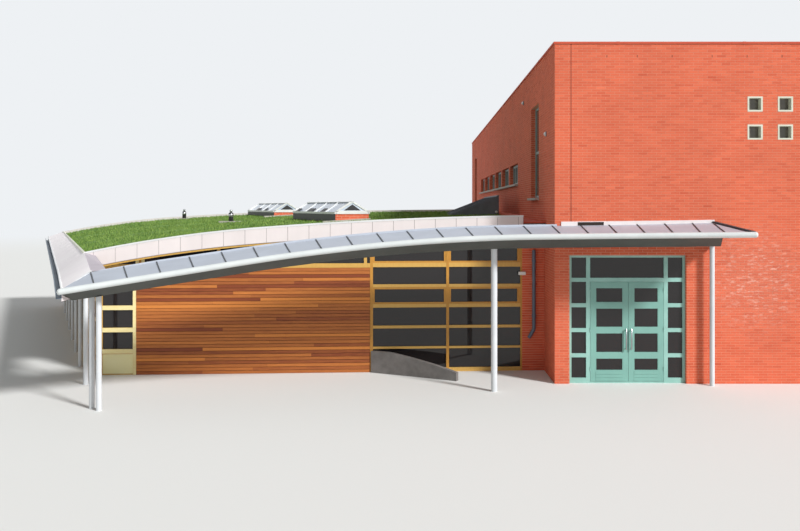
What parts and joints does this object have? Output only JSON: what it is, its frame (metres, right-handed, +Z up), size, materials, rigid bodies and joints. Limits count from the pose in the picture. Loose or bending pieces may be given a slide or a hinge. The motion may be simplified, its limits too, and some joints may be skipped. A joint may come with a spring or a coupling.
{
  "type": "childcare centre building",
  "caption": "Childcare centre: tall brick hall with glazed entrance doors, low glazed wing under a curved grass roof, and a curved metal canopy on round posts.",
  "frame": {"origin": "middle of the footprint at ground level", "axes": "+Z up, +Y away from the visitor along the hall's long side, +X to the right along the hall's front"},
  "size_m": [29.4652, 34.4152, 8.125],
  "materials": {
    "brick": "red-orange facing brick",
    "concrete": "cast concrete",
    "roof_felt": "bitumen felt on deck",
    "grass": "sedum and grass turf",
    "coping_metal": "pale coated sheet",
    "wall_coping": "brick red coated sheet",
    "window_frame": "cream powder coat",
    "sill_stone": "cast stone",
    "clear_glass": "float glass",
    "rooflight_glazing": "patent glazing",
    "sea_green": "sea green paint",
    "yellow_timber": "yellow stained timber",
    "cedar": "oiled cedar boards",
    "zinc": "standing seam zinc",
    "soffit_grey": "dark grey panel",
    "white_steel": "white painted steel",
    "grey_pipe": "grey pipe"
  },
  "bodies": {
    "building": {"brick_return": "brick", "canopy_body": "soffit_grey", "canopy_nose": "white_steel", "canopy_posts": "white_steel", "canopy_roof": "zinc", "cedar_wall": "cedar", "colonnade_posts": "white_steel", "downpipe": "grey_pipe", "eaves_batten": "yellow_timber", "entrance_frame": "sea_green", "entrance_glass": "clear_glass", "floors": "concrete", "garden_wall": "concrete", "glazed_wall_frame": "yellow_timber", "grass_roof": "grass", "hall_back_wall": "brick", "hall_end_copings": "wall_coping", "hall_front_pier": "brick", "hall_front_upper_wall": "brick", "hall_front_wall": "brick", "hall_glass": "clear_glass", "hall_left_wall": "brick", "hall_right_wall": "brick", "hall_roof": "roof_felt", "hall_side_copings": "wall_coping", "hall_side_frames": "window_frame", "hall_sills": "sill_stone", "hall_square_frames": "window_frame", "lean_to_rooflight": "zinc", "left_facade_frame": "yellow_timber", "left_verge": "coping_metal", "roof_back_edge": "coping_metal", "roof_band": "coping_metal", "roof_deck": "roof_felt", "roof_vents": "grey_pipe", "rooflight_glass": "rooflight_glazing", "rooflight_kerbs": "brick", "side_ledge": "coping_metal", "timber_front_frame": "yellow_timber", "wing_back_wall": "brick", "wing_glass": "clear_glass"},
    "left_leaf": {"door_left": "sea_green", "door_left_glass": "clear_glass"},
    "right_leaf": {"door_right": "sea_green", "door_right_glass": "clear_glass"}
  },
  "joints": [
    {"name": "door_left_hinge", "type": "hinge", "parent": "building", "child": "left_leaf", "pos_m": [5.2356, -13.7374, 1.2], "axis": [0, 0, -1], "range_deg": [0, 90]},
    {"name": "door_right_hinge", "type": "hinge", "parent": "building", "child": "right_leaf", "pos_m": [6.9896, -13.7374, 1.2], "axis": [0, 0, 1], "range_deg": [0, 90]}
  ]
}
